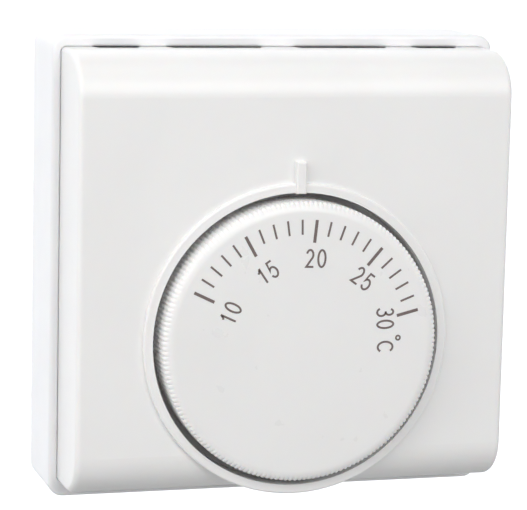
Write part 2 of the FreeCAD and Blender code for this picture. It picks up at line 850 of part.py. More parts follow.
def push_pin():
    """The pin with a broad head that the diaphragm pushes out of the capsule."""
    head_front = diaphragm_rear - rest_gap
    stem = rod(0, axis_z, push_pin_rear, head_front, push_pin_radius)
    head = rod(0, axis_z, head_front - push_plate, head_front, push_plate_radius)
    return stem.fuse(head)


# ---------------------------------------------------------------- switch
def switch_case():
    """The switch's open case, with an ear at each end and slots for its strips."""
    low = axis_z - switch_half_height
    high = axis_z + switch_half_height
    end = switch_half_length
    body = block(-end, end, switch_rear, switch_inner_front, low, high)
    hollow = block(switch_wall - end, end - switch_wall, switch_rear + switch_floor, switch_inner_front,
                   low + switch_wall, high - switch_wall)
    ears = []
    holes = [hollow]
    ear_rear_depth = back_wall + foot_height
    ear_front_depth = ear_rear_depth + switch_ear_thickness
    for x, z in switch_screw_places():
        side = 1 if x > 0 else -1
        near, far = sorted((side * (end - switch_wall), x + side * small_boss_radius))
        ears.append(block(near, far, ear_rear_depth, ear_front_depth, z - small_boss_radius,
                          low + switch_wall))
        holes.append(rod(x, z, ear_rear_depth, ear_front_depth, small_screw_core + running_gap))
    for x in (-contact_offset, contact_offset):
        reach = strip_width / 2 + strip_gap
        holes.append(block(x - reach, x + reach, strip_rear - strip_gap, switch_inner_front,
                           high - switch_wall, high))
    return body.fuse(ears).cut(holes).removeSplitter()


def switch_lid():
    """The lid that closes the switch and guides its plunger."""
    low = axis_z - switch_half_height
    high = axis_z + switch_half_height
    lid = block(-switch_half_length, switch_half_length, switch_inner_front, switch_front, low, high)
    return lid.cut(rod(0, axis_z, switch_inner_front, switch_front, plunger_radius + running_gap))


def switch_plunger():
    """The round plunger that passes the capsule's movement into the switch."""
    return rod(0, axis_z, plunger_rear, plunger_front, plunger_radius)


def strip(switch_x, terminal_place):
    """A stamped strip from one side of the switch up into a terminal."""
    half = strip_width / 2
    top = cage_base + cage_height - strip_end_gap
    upper_x = terminal_x[terminal_place]
    jog_low = axis_z + switch_half_height + switch_wall
    jog_high = jog_low + abs(switch_x - upper_x)
    inside = axis_z - contact_reach
    return sheet([(switch_x - half, inside), (switch_x + half, inside), (switch_x + half, jog_low),
                  (upper_x + half, jog_high), (upper_x + half, top), (upper_x - half, top),
                  (upper_x - half, jog_high), (switch_x - half, jog_low)], strip_rear, strip_front)


def live_strip():
    """The strip that carries the fixed contact."""
    return strip(-contact_offset, 1)


def load_strip():
    """The strip that the contact arm swings on."""
    knife = block(contact_offset - knife_thickness / 2, contact_offset + knife_thickness / 2,
                  arm_front + knife_gap, strip_rear, axis_z - contact_reach, axis_z + arm_height / 2)
    return strip(contact_offset, 2).fuse(knife).removeSplitter()


def neutral_strip():
    """The short strip in the last terminal, for the resistor."""
    half = strip_width / 2
    x = terminal_x[3]
    top = cage_base + cage_height - strip_end_gap
    low = resistor_z - half
    return sheet([(x - half, low), (x + half, low), (x + half, top), (x - half, top)],
                 strip_rear, strip_front)


def fixed_contact():
    """The fixed silver contact on the live strip."""
    return rod(-contact_offset, axis_z, fixed_contact_rear, strip_rear, contact_radius)


def moving_contact():
    """The silver contact on the end of the arm."""
    return rod(-contact_offset, axis_z, arm_front, moving_contact_front, contact_radius)


def contact_arm():
    """The springy arm that carries the moving contact."""
    half = arm_height / 2
    return block(-contact_offset - arm_overhang, contact_offset + arm_overhang, arm_rear, arm_front,
                 axis_z - half, axis_z + half)


def snap_spring():
    """The bowed leaf between the plunger and the arm, which makes the arm snap over."""
    def bow(height):
        end_depth = arm_front + plunger_tip_gap + height
        ends = [Vector(side * snap_half_span, -end_depth, axis_z - snap_width / 2) for side in (-1, 1)]
        crown = Vector(0, ends[0].y - (snap_height - snap_thickness - plunger_tip_gap),
                       axis_z - snap_width / 2)
        return Part.Arc(ends[0], crown, ends[1]).toShape()

    lower = bow(0)
    upper = bow(snap_thickness)
    left = Part.makeLine(lower.Vertexes[0].Point, upper.Vertexes[0].Point)
    right = Part.makeLine(lower.Vertexes[-1].Point, upper.Vertexes[-1].Point)
    outline = Part.Wire(Part.__sortEdges__([lower, right, upper, left]))
    return Part.Face(outline).extrude(Vector(0, 0, snap_width))


# ---------------------------------------------------------------- terminals
def terminal_block():
    """The terminal moulding, with a chamber for each cage that opens at the top."""
    body = block(-terminal_half, terminal_half, back_wall, terminal_front, terminal_base, terminal_top)
    ear_rear_depth = back_wall + terminal_boss
    ear_front_depth = ear_rear_depth + terminal_ear_thickness
    ear_end = terminal_half + terminal_ear
    ear = block(-ear_end, ear_end, ear_rear_depth, ear_front_depth,
                terminal_base + terminal_height / 4, terminal_top - terminal_height / 4)
    holes = []
    for x, z in terminal_screw_places():
        holes.append(rod(x, z, ear_rear_depth, ear_front_depth, small_screw_core + running_gap))
    half = cage_half + cage_fit
    strip_half = strip_width / 2 + strip_gap
    for place, x in enumerate(terminal_x):
        holes.append(block(x - half, x + half, cage_rear - cage_fit, cage_front + cage_fit,
                           cage_base - cage_fit, terminal_top))
        holes.append(rod(x, cage_base + cage_height / 2, cage_front, terminal_front,
                         terminal_screw_head_radius + side_gap))
        if place > 0:
            holes.append(block(x - strip_half, x + strip_half, strip_rear - strip_gap,
                               strip_front + strip_gap, terminal_base, cage_base))
    return body.fuse(ear).cut(holes).removeSplitter()


def terminal_cages():
    """The brass cages that clamp the wires, open at both ends."""
    cages = []
    for x in terminal_x:
        low = cage_base
        outer = block(x - cage_half, x + cage_half, cage_rear, cage_front, low, low + cage_height)
        inner_half = cage_half - cage_wall
        inner = block(x - inner_half, x + inner_half, cage_rear + cage_wall, cage_front - cage_wall,
                      low, low + cage_height)
        thread = rod(x, low + cage_height / 2, cage_front - cage_wall, cage_front,
                     terminal_screw_radius + press_gap)
        cages.append(outer.cut([inner, thread]))
    return group(cages)


def terminal_screws():
    """The clamp screws of the four terminals, run in almost to the strips' depth."""
    z = cage_base + cage_height / 2
    seat = terminal_front + terminal_screw_proud - terminal_screw_head
    tip = cage_front - cage_wall - terminal_screw_tip
    return group([screw(x, z, seat, tip, terminal_screw_radius, terminal_screw_head_radius,
                        terminal_screw_head) for x in terminal_x])


def accelerator_resistor():
    """The small heater resistor that warms the capsule while the load is on."""
    x = (terminal_x[2] + terminal_x[3]) / 2
    start = Vector(x - resistor_length / 2, -(strip_front + resistor_lift), resistor_z)
    body = Part.makeCylinder(resistor_radius, resistor_length, start, Vector(1, 0, 0))
    rims = [edge for edge in body.Edges if edge.BoundBox.XLength < 0.001]
    return body.makeFillet(resistor_radius / 4, rims)


def resistor_leads():
    """The resistor's two wire leads, down to the strips on each side."""
    middle = (terminal_x[2] + terminal_x[3]) / 2
    depth = strip_front + resistor_lift
    leads = []
    for x, direction in ((terminal_x[2], 1), (terminal_x[3], -1)):
        end = middle - direction * resistor_length / 2
        along = Part.makeCylinder(lead_radius, abs(end - x), Vector(x, -depth, resistor_z),
                                  Vector(direction, 0, 0))
        down = rod(x, resistor_z, strip_front, depth, lead_radius)
        elbow = Part.makeSphere(lead_radius, Vector(x, -depth, resistor_z))
        leads.append(along.fuse([down, elbow]).removeSplitter())
    return group(leads)


os.makedirs("parts", exist_ok=True)
foot_reach = foot_front - boss_floor - rest_gap
save("rear_housing", rear_housing())
save("front_cover", front_cover())
save("cover_screws", cover_screws())
save("setting_knob", setting_knob())
save("knob_spring_leaf", knob_spring_leaf())
save("spindle", spindle())
save("spindle_clip", spindle_clip())
save("spindle_bush", spindle_bush())
save("thrust_washer", thrust_washer())
save("setting_cam", setting_cam())
save("mechanism_frame", mechanism_frame())
save("frame_screws", small_screws(frame_screw_places(), foot_front, foot_reach))
save("stop_pins", stop_pins())
save("guide_pins", guide_pins())
save("return_springs", return_springs())
save("capsule_carrier", capsule_carrier())
save("capsule_lid", capsule_lid())
save("capsule_diaphragm", capsule_diaphragm())
save("capsule_cup", capsule_cup())
save("capsule_rivet", capsule_rivet())
save("fill_tube", fill_tube())
save("push_pin", push_pin())
save("switch_case", switch_case())
save("switch_lid", switch_lid())
save("switch_screws", small_screws(switch_screw_places(), back_wall + foot_height + switch_ear_thickness,
                                   switch_ear_thickness + foot_height))
save("switch_plunger", switch_plunger())
save("live_strip", live_strip())
save("load_strip", load_strip())
save("neutral_strip", neutral_strip())
save("fixed_contact", fixed_contact())
save("moving_contact", moving_contact())
save("contact_arm", contact_arm())
save("snap_spring", snap_spring())
save("terminal_block", terminal_block())
save("terminal_cages", terminal_cages())
save("terminal_screws", terminal_screws())
save("terminal_block_screws", small_screws(terminal_screw_places(),
                                           back_wall + terminal_boss + terminal_ear_thickness,
                                           terminal_ear_thickness + terminal_boss))
save("accelerator_resistor", accelerator_resistor())
save("resistor_leads", resistor_leads())
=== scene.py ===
"""Finishes a round-dial wall thermostat: its ridged dial, the printed scale, every moulding and metal piece."""

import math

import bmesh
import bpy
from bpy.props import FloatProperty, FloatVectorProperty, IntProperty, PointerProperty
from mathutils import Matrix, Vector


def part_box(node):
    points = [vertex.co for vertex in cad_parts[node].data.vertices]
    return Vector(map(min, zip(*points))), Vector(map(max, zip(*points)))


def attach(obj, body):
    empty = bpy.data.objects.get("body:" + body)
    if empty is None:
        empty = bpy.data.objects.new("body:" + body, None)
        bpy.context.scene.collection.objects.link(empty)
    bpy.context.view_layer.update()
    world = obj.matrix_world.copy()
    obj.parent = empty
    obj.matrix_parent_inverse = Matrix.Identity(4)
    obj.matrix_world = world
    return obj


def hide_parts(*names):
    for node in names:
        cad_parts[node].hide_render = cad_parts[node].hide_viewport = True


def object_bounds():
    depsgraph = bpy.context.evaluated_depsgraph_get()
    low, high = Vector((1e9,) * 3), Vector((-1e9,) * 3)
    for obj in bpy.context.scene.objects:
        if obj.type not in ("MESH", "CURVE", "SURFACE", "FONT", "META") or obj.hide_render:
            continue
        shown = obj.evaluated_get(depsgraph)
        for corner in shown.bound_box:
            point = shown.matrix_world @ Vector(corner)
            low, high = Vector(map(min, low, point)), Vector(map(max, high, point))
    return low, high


bl_info = {
    "name": "Wall Thermostat Finisher",
    "version": (1, 0, 0),
    "blender": (4, 5, 0),
    "location": "3D View > Sidebar > Thermostat",
    "description": "Makes the dial, its printed scale and the finishes of a round-dial wall thermostat",
    "category": "Object",
}

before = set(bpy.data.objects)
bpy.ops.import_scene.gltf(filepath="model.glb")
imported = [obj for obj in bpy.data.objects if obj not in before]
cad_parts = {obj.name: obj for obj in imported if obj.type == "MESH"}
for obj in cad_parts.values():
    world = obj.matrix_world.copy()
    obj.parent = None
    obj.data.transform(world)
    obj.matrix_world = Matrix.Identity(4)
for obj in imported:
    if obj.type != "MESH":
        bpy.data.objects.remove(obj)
CAD_BOX = [list(corner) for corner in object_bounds()]

# The dial's place and outer size come from the frame, in metres. Depths run forward, towards -Y.
MM = 0.001
KNOB_LOW, KNOB_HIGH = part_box("setting_knob")
SPINDLE_LOW, SPINDLE_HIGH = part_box("spindle")
LEAF_LOW, LEAF_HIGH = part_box("knob_spring_leaf")
AXIS_X = (KNOB_LOW.x + KNOB_HIGH.x) / 2
AXIS_Z = (KNOB_LOW.z + KNOB_HIGH.z) / 2
KNOB_RADIUS = (KNOB_HIGH.x - KNOB_LOW.x) / 2
KNOB_REAR = -KNOB_HIGH.y
KNOB_FRONT = -KNOB_LOW.y
SPINDLE_RADIUS = (SPINDLE_HIGH.z - SPINDLE_LOW.z) / 2
LEAF_OUTER = LEAF_HIGH.x - AXIS_X
RUNNING_GAP = 0.05 * MM


# ---------------------------------------------------------------------------------------------
# What a user would change
# ---------------------------------------------------------------------------------------------

def length(name, description, millimetres):
    """A length that the sidebar shows, with its default in millimetres."""
    return FloatProperty(name=name, description=description, default=millimetres * MM,
                         min=0.0, subtype="DISTANCE", unit="LENGTH", precision=5)


def colour(name, description, red, green, blue):
    """A colour that the sidebar shows."""
    return FloatVectorProperty(name=name, description=description, default=(red, green, blue),
                               min=0.0, max=1.0, size=3, subtype="COLOR")


def strength(name, description, watts):
    """A lamp's power."""
    return FloatProperty(name=name, description=description, default=watts, min=0.0, unit="POWER")


def turn(name, description, degrees):
    """An angle, with its default in degrees."""
    return FloatProperty(name=name, description=description, default=math.radians(degrees),
                         subtype="ANGLE", unit="ROTATION")


class DialSizes(bpy.types.PropertyGroup):
    """The ridged cap that the hand turns."""
    ridges: IntProperty(name="Ridges", description="Grip ridges round the edge", default=180, min=12)
    ridge_depth: length("Ridge depth", "Depth of the grooves between the ridges", 0.26)
    face_relief: length("Face relief", "How far the face lies behind the print", 0.04)
    edge_width: length("Edge width", "How far the rounded edge reaches in over the face", 2.1)
    edge_depth: length("Edge depth", "How far the rounded edge reaches back along the side", 1.5)
    skirt_wall: length("Skirt wall", "Wall of the skirt behind the face", 1.8)
    face_wall: length("Face wall", "Thickness of the face", 2.2)
    lip_round: length("Lip round", "Radius along the rear lip", 0.25)
    inner_round: length("Inner round", "Radius inside, where the skirt meets the face", 0.5)
    hub_wall: length("Hub wall", "Wall of the hub that grips the spindle", 2.15)
    rib_count: IntProperty(name="Ribs", description="Ribs from the hub to the skirt", default=6, min=3)
    rib_thickness: length("Rib thickness", "Thickness of each rib", 1.0)
    rib_depth: length("Rib depth", "How far each rib reaches behind the face", 4.2)


class ScaleSizes(bpy.types.PropertyGroup):
    """The printed temperature scale."""
    lowest: IntProperty(name="Lowest", description="Lowest temperature, in degrees", default=10)
    highest: IntProperty(name="Highest", description="Highest temperature, in degrees", default=30)
    set_to: FloatProperty(name="Set to", description="Temperature under the pointer at rest", default=19.2)
    number_step: IntProperty(name="Number step", description="Degrees between long marks", default=5, min=1)
    turn_per_degree: turn("Turn per degree", "Turn of the dial for one degree of temperature", 7.0)
    mark_outer: length("Marks end", "Radius where the marks end", 22.4)
    short_inner: length("Short marks start", "Radius where the short marks start", 19.7)
    long_inner: length("Long marks start", "Radius where the long marks start", 18.3)
    short_width: length("Short mark width", "Width of a short mark", 0.36)
    long_width: length("Long mark width", "Width of a long mark", 0.56)
    digit_height: length("Digit height", "Height of a digit's centre line", 3.05)
    digit_width: length("Digit width", "Width of a digit's centre line", 1.35)
    digit_spacing: length("Digit spacing", "From one digit's middle to the next", 2.2)
    stroke: length("Stroke", "Width of the lines that draw the digits", 0.36)
    ink_thickness: length("Ink thickness", "Thickness of the printed ink", 0.03)


class FinishColours(bpy.types.PropertyGroup):
    """Colours of the mouldings, the ink and the metals."""
    case: colour("Case", "Rear housing", 0.87, 0.872, 0.885)
    cover: colour("Cover", "Front cover", 0.87, 0.865, 0.86)
    dial: colour("Dial", "Dial cap", 0.87, 0.865, 0.86)
    ink: colour("Ink", "Printed scale", 0.15, 0.118, 0.112)
    acetal: colour("Cam", "Setting cam", 0.78, 0.75, 0.66)
    carrier: colour("Carrier", "Sensor carrier", 0.66, 0.65, 0.6)
    switch: colour("Switch", "Switch case", 0.045, 0.03, 0.024)
    terminal: colour("Terminals", "Terminal block", 0.74, 0.74, 0.71)
    steel: colour("Steel", "Plated steel", 0.62, 0.63, 0.645)
    brass: colour("Brass", "Brass", 0.72, 0.5, 0.21)
    copper: colour("Copper", "Copper", 0.72, 0.34, 0.2)
    silver: colour("Silver", "Silver contacts", 0.82, 0.815, 0.79)


class StageSettings(bpy.types.PropertyGroup):
    """The floor, the lamps and the camera."""
    floor_drop: length("Floor drop", "How far the floor lies below the thermostat", 1000.0)
    backdrop_distance: length("Backdrop distance", "From the thermostat to the backdrop", 2500.0)
    backdrop_glow: FloatProperty(name="Backdrop glow", description="Brightness of the backdrop", default=1.1)
    ambient: FloatProperty(name="Ambient", description="Brightness of the room", default=0.08)
    key: strength("Key", "Large lamp at the front left, above", 3.6)
    top: strength("Top", "Lamp overhead", 1.0)
    front: strength("Front", "Broad lamp in front, above", 7.6)
    low: strength("Low", "Weak fill from below", 0.9)
    left: strength("Left", "Lamp at the left", 2.0)
    right: strength("Right", "Lamp at the right", 1.4)
    rear: strength("Rear", "Lamp behind, for the rear views", 0.6)
    camera_turn: turn("Camera turn", "How far the camera stands to the left", 16.16)
    camera_rise: turn("Camera rise", "How far the camera stands above", 8.91)
    camera_roll: turn("Camera roll", "Tilt of the camera about its line of sight", 1.3)
    camera_distance: length("Camera distance", "From the camera to what it looks at", 468.35)
    camera_lens: FloatProperty(name="Lens", description="Focal length in millimetres", default=173.09)


# ---------------------------------------------------------------------------------------------
# Mesh helpers
# ---------------------------------------------------------------------------------------------

def on_dial(radius, angle, depth):
    """A point on the dial: angle runs clockwise from the top, seen from the front."""
    return Vector((AXIS_X + radius * math.sin(angle), -depth, AXIS_Z + radius * math.cos(angle)))


def piece_from(bm, name, body, crease=30.0):
    """Turns a finished bmesh into an object that rides on a body, smooth except at its creases."""
    bmesh.ops.remove_doubles(bm, verts=bm.verts, dist=1e-7)
    bmesh.ops.recalc_face_normals(bm, faces=bm.faces)
    mesh = bpy.data.meshes.new(name)
    bm.to_mesh(mesh)
    bm.free()
    mesh.shade_smooth()
    mesh.set_sharp_from_angle(angle=math.radians(crease))
    piece = bpy.data.objects.new(name, mesh)
    bpy.context.scene.collection.objects.link(piece)
    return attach(piece, body)


def lathe(bm, outline, columns):
    """Spins a closed outline of (radius, depth, ridge share) about the dial's axis.

    A radius may be a function of the angle. A point of zero radius becomes one pole."""
    rings = []
    for radius, depth in outline:
        if radius == 0:
            rings.append([bm.verts.new(on_dial(0, 0, depth))])
            continue
        ring = []
        for column in range(columns):
            angle = 2 * math.pi * column / columns
            reach = radius(angle) if callable(radius) else radius
            ring.append(bm.verts.new(on_dial(reach, angle, depth)))
        rings.append(ring)
    pairs = list(zip(rings, rings[1:]))
    if len(rings[0]) > 1:
        pairs.append((rings[-1], rings[0]))
    for first, second in pairs:
        for column in range(columns):
            after = (column + 1) % columns
            corners = [first[column % len(first)], first[after % len(first)],
                       second[after % len(second)], second[column % len(second)]]
            kept = list(dict.fromkeys(corners))
            if len(kept) > 2:
                bm.faces.new(kept)


def arc(middle_x, middle_y, radius_x, radius_y, start, end, steps=20):
    """Points along part of an ellipse, from start to end in degrees."""
    points = []
    for step in range(steps + 1):
        angle = math.radians(start + (end - start) * step / steps)
        points.append((middle_x + radius_x * math.cos(angle), middle_y + radius_y * math.sin(angle)))
    return points


def rounded(before, corner, after, radius, steps=6):
    """A corner of an outline, replaced by an arc that touches both its sides."""
    before, corner, after = (Vector(point) for point in (before, corner, after))
    to_before = (before - corner).normalized()
    to_after = (after - corner).normalized()
    half = to_before.angle(to_after) / 2
    reach = radius / math.tan(half)
    centre = corner + (to_before + to_after).normalized() * radius / math.sin(half)
    first = corner + to_before * reach - centre
    last = corner + to_after * reach - centre
    points = []
    for step in range(steps + 1):
        share = step / steps
        swing = first.lerp(last, share)
        points.append(tuple(centre + swing.normalized() * radius))
    return points


def ribbon(bm, points, width, place, thickness, closed=False):
    """A flat line of even width through the points, as a closed solid. place puts (x, y, depth) in the frame."""
    count = len(points)
    sections = []
    for index, point in enumerate(points):
        here = Vector(point)
        back = Vector(points[index - 1]) if closed or index > 0 else None
        ahead = Vector(points[(index + 1) % count]) if closed or index < count - 1 else None
        along_in = (here - back).normalized() if back else (ahead - here).normalized()
        along_out = (ahead - here).normalized() if ahead else along_in
        across = Vector((-(along_in.y + along_out.y), along_in.x + along_out.x)).normalized()
        widen = 1 / max(0.35, across.dot(Vector((-along_out.y, along_out.x))))
        side = across * width / 2 * widen
        corners = [here + side, here - side]
        section = [bm.verts.new(place(corner.x, corner.y, lift)) for lift in (0, thickness) for corner in corners]
        sections.append(section)
    order = (0, 1, 3, 2)
    joins = list(zip(sections, sections[1:]))
    if closed:
        joins.append((sections[-1], sections[0]))
    for first, second in joins:
        for corner in range(4):
            a, b = order[corner], order[(corner + 1) % 4]
            bm.faces.new((first[a], first[b], second[b], second[a]))
    if not closed:
        for section in (sections[0], sections[-1]):
            bm.faces.new([section[corner] for corner in order])


# ---------------------------------------------------------------------------------------------
# The dial
# ---------------------------------------------------------------------------------------------

def dial_cap(sizes):
    """The cap with its ridged side, rounded edge, hollow back, hub and ribs."""
    face = KNOB_FRONT - sizes.face_relief
    inner_top = face - sizes.face_wall
    skirt_inner = KNOB_RADIUS - sizes.skirt_wall
    flat_radius = KNOB_RADIUS - sizes.edge_width
    side_front = face - sizes.edge_depth

    def ridged(radius, share):
        """The radius of a ring that the grooves cut by a share of their depth: round crests, sharp valleys."""
        def reach(angle):
            crest = abs(math.sin(angle * sizes.ridges / 2))
            return radius - sizes.ridge_depth * share * (1 - crest ** 0.8)
        return reach

    shoulder = arc(flat_radius, side_front, sizes.edge_width, sizes.edge_depth, 90, 0, 18)
    outer_lip = rounded((KNOB_RADIUS, side_front), (KNOB_RADIUS, KNOB_REAR), (skirt_inner, KNOB_REAR),
                        sizes.lip_round, 3)
    inner_lip = rounded((KNOB_RADIUS, KNOB_REAR), (skirt_inner, KNOB_REAR), (skirt_inner, inner_top),
                        sizes.lip_round, 3)
    corner = rounded((skirt_inner, KNOB_REAR), (skirt_inner, inner_top), (0, inner_top), sizes.inner_round, 4)

    outline = [(0, face), (flat_radius / 2, face)]
    for radius, depth in shoulder + outer_lip:
        share = min(1.0, max(0.0, (radius - flat_radius) / sizes.edge_width))
        outline.append((ridged(radius, share ** 2), depth) if share > 0 else (radius, depth))
    outline += inner_lip + corner + [(0, inner_top)]

    bm = bmesh.new()
    lathe(bm, outline, sizes.ridges * 8)

    bore = SPINDLE_RADIUS + RUNNING_GAP
    flat = LEAF_OUTER + RUNNING_GAP
    hub = bore + sizes.hub_wall
    root = 0.5 * MM

    def bore_reach(angle):
        """The bore is round, with a flat on its +X side for the spring leaf."""
        sideways = math.sin(angle)
        return min(bore, flat / sideways) if sideways > 0 else bore

    lathe(bm, [(hub, KNOB_REAR), (hub, inner_top + root), (bore_reach, inner_top + root), (bore_reach, KNOB_REAR)], 96)
    for index in range(sizes.rib_count):
        angle = 2 * math.pi * (index + 0.5) / sizes.rib_count + math.pi / 2
        across = Vector((math.cos(angle), 0, -math.sin(angle))) * sizes.rib_thickness / 2
        corners = []
        for radius in (hub - root, skirt_inner + root):
            for depth in (inner_top - sizes.rib_depth, inner_top + root):
                middle = on_dial(radius, angle, depth)
                corners.append([bm.verts.new(middle - across), bm.verts.new(middle + across)])
        inner_low, inner_high, outer_low, outer_high = corners
        for sides in ((inner_low, inner_high), (outer_low, outer_high), (inner_low, outer_low),
                      (inner_high, outer_high)):
            bm.faces.new((sides[0][0], sides[0][1], sides[1][1], sides[1][0]))
        for side in (0, 1):
            bm.faces.new((inner_low[side], inner_high[side], outer_high[side], outer_low[side]))
    return piece_from(bm, "dial_cap", "dial")


class THERMOSTAT_OT_dial(bpy.types.Operator):
    """Make the ridged dial cap in place of the plain one"""
    bl_idname = "thermostat.dial"
    bl_label = "Make the dial"

    def execute(self, context):
        settings = context.scene
        cap = dial_cap(settings.thermostat_dial)
        cap.data.materials.append(moulding("dial_gloss", settings.thermostat_finish.dial, 0.3))
        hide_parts("setting_knob")
        return {"FINISHED"}


# ---------------------------------------------------------------------------------------------
# The printed scale
# ---------------------------------------------------------------------------------------------

def glyph(character):
    """The strokes that draw a character in a box one unit wide and one unit high."""
    if character == "0":
        return [(arc(0.5, 0.5, 0.5, 0.5, 0, 360, 40)[:-1], True)]
    if character == "1":
        return [([(0.62, 0.0), (0.62, 1.0)], False), ([(0.17, 0.74), (0.38, 0.78), (0.56, 0.93)], False)]
    if character == "2":
        return [(arc(0.48, 0.71, 0.44, 0.29, 165, -30) + [(0.02, 0.0), (1.0, 0.0)], False)]
    if character == "3":
        return [(arc(0.46, 0.765, 0.4, 0.235, 155, -90) + [(0.36, 0.53)], False),
                (arc(0.46, 0.265, 0.5, 0.265, 90, -160), False)]
    if character == "5":
        return [([(0.92, 1.0), (0.22, 1.0), (0.08, 0.5)] + arc(0.47, 0.32, 0.5, 0.32, 125, -155), False)]
    if character == "C":
        return [(arc(0.5, 0.5, 0.5, 0.5, 42, 318, 32), False)]
    if character == "ring":
        return [(arc(0.5, 0.5, 0.5, 0.5, 0, 360, 24)[:-1], True)]
    raise ValueError(f"no strokes for {character!r}")


def scale_place(middle_radius, middle_angle, tilt, face):
    """Puts flat drawing coordinates at a spot on the dial's face, turned clockwise by tilt."""
    middle = on_dial(middle_radius, middle_angle, face)
    rightward = Vector((math.cos(tilt), 0, -math.sin(tilt)))
    upward = Vector((math.sin(tilt), 0, math.cos(tilt)))

    def place(x, y, lift):
        return middle + rightward * x + upward * y - Vector((0, lift, 0))
    return place


def draw_character(bm, character, shift, width, height, stroke, place, thickness):
    """Draws one character about a point that lies shift to the right of the place's middle."""
    for points, closed in glyph(character):
        sized = [((x - 0.5) * width + shift, (y - 0.5) * height) for x, y in points]
        ribbon(bm, sized, stroke, place, thickness, closed)


def scale_marks(sizes, face):
    """One mark for each degree, longer and wider at each number."""
    bm = bmesh.new()
    for temperature in range(sizes.lowest, sizes.highest + 1):
        angle = (temperature - sizes.set_to) * sizes.turn_per_degree
        numbered = temperature % sizes.number_step == 0
        inner = sizes.long_inner if numbered else sizes.short_inner
        width = sizes.long_width if numbered else sizes.short_width
        place = scale_place(0, 0, angle, face)
        ribbon(bm, [(0, inner), (0, sizes.mark_outer)], width, place, sizes.ink_thickness)
    return piece_from(bm, "scale_marks", "dial")


def scale_numbers(sizes, face):
    """The numbers, each with its own place and tilt, then the sign for degrees Celsius."""
    bm = bmesh.new()
    numbers = ((10, -66.7, 14.7, -65.0), (15, -27.8, 14.65, -34.5), (20, 7.9, 15.5, 1.8),
               (25, 44.0, 15.95, 36.0), (30, 75.2, 16.05, 88.0))
    for value, angle, radius, tilt in numbers:
        place = scale_place(radius * MM, math.radians(angle), math.radians(tilt), face)
        for character, side in zip(str(value), (-0.5, 0.5)):
            draw_character(bm, character, side * sizes.digit_spacing, sizes.digit_width,
                           sizes.digit_height, sizes.stroke, place, sizes.ink_thickness)
    ring = scale_place(18.06 * MM, math.radians(88.5), math.radians(88.0), face)
    draw_character(bm, "ring", 0, 0.78 * MM, 0.78 * MM, sizes.stroke * 0.85, ring, sizes.ink_thickness)
    letter = scale_place(15.7 * MM, math.radians(94.3), math.radians(88.0), face)
    draw_character(bm, "C", 0, 1.95 * MM, sizes.digit_height * 0.92, sizes.stroke, letter, sizes.ink_thickness)
    return piece_from(bm, "scale_numbers", "dial")


class THERMOSTAT_OT_scale(bpy.types.Operator):
    """Print the temperature scale on the dial's face"""
    bl_idname = "thermostat.scale"
    bl_label = "Print the scale"

    def execute(self, context):
        settings = context.scene
        face = KNOB_FRONT - settings.thermostat_dial.face_relief
        ink = printed_ink("scale_ink", settings.thermostat_finish.ink)
        for printed in (scale_marks(settings.thermostat_scale, face), scale_numbers(settings.thermostat_scale, face)):
            printed.data.materials.append(ink)
        return {"FINISHED"}


# ---------------------------------------------------------------------------------------------
# Finishes
# ---------------------------------------------------------------------------------------------

